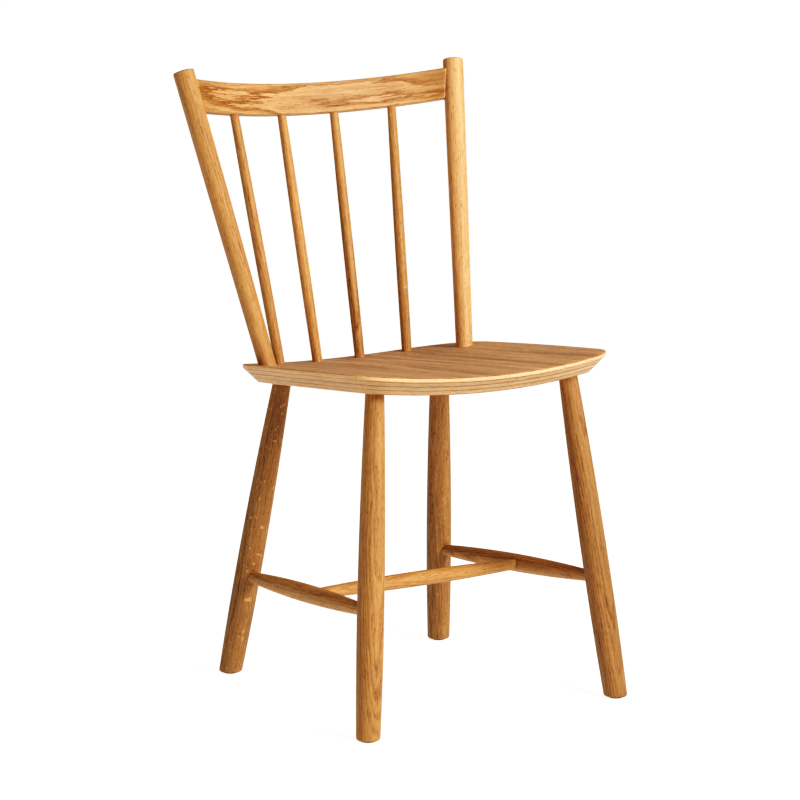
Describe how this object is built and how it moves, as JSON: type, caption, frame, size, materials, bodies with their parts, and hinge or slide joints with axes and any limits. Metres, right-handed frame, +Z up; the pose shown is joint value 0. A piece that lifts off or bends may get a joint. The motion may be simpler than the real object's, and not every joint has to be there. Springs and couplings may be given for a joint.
{
  "type": "spindle-back dining chair",
  "caption": "Wooden dining chair with a hollowed plywood seat, turned splayed legs tied by stretchers, and a leaning back of posts, slender spindles and a curved crest rail.",
  "frame": {"origin": "on the floor, at the middle of the chair's box", "axes": "+Z up, -Y towards the front of the chair, X across the seat; left and right are as seen by someone facing the chair"},
  "size_m": [0.4602, 0.4988, 0.8292],
  "materials": {
    "oak_legs": "turned oak, oiled, satin",
    "oak_stretchers": "turned oak, oiled, satin",
    "oak_posts": "turned oak, oiled, satin",
    "oak_spindles": "turned oak, oiled, satin",
    "oak_rail": "bent solid oak, oiled, satin",
    "oak_thin_plies": "oak veneer with its grain front to back, oiled, satin",
    "oak_thick_plies": "light oak ply with its grain across, seen only at the edge, oiled, satin",
    "glide_nylon": "moulded nylon, matt"
  },
  "bodies": {
    "root": {"leg_front_left": "oak_legs", "leg_front_right": "oak_legs", "leg_rear_left": "oak_legs", "leg_rear_right": "oak_legs", "glide_front_left": "glide_nylon", "glide_front_right": "glide_nylon", "glide_rear_left": "glide_nylon", "glide_rear_right": "glide_nylon", "side_stretcher_left": "oak_stretchers", "side_stretcher_right": "oak_stretchers", "cross_stretcher": "oak_stretchers", "seat_ply_1_top_veneer": "oak_thin_plies", "seat_ply_2_thick": "oak_thick_plies", "seat_ply_3_thin": "oak_thin_plies", "seat_ply_4_thick": "oak_thick_plies", "seat_ply_5_thin": "oak_thin_plies", "seat_ply_6_thick": "oak_thick_plies", "seat_ply_7_thin": "oak_thin_plies", "seat_ply_8_thick": "oak_thick_plies", "seat_ply_9_bottom_veneer": "oak_thin_plies", "back_post_left": "oak_posts", "back_post_right": "oak_posts", "spindle_outer_left": "oak_spindles", "spindle_inner_left": "oak_spindles", "spindle_inner_right": "oak_spindles", "spindle_outer_right": "oak_spindles", "crest_rail": "oak_rail"}
  },
  "joints": []
}
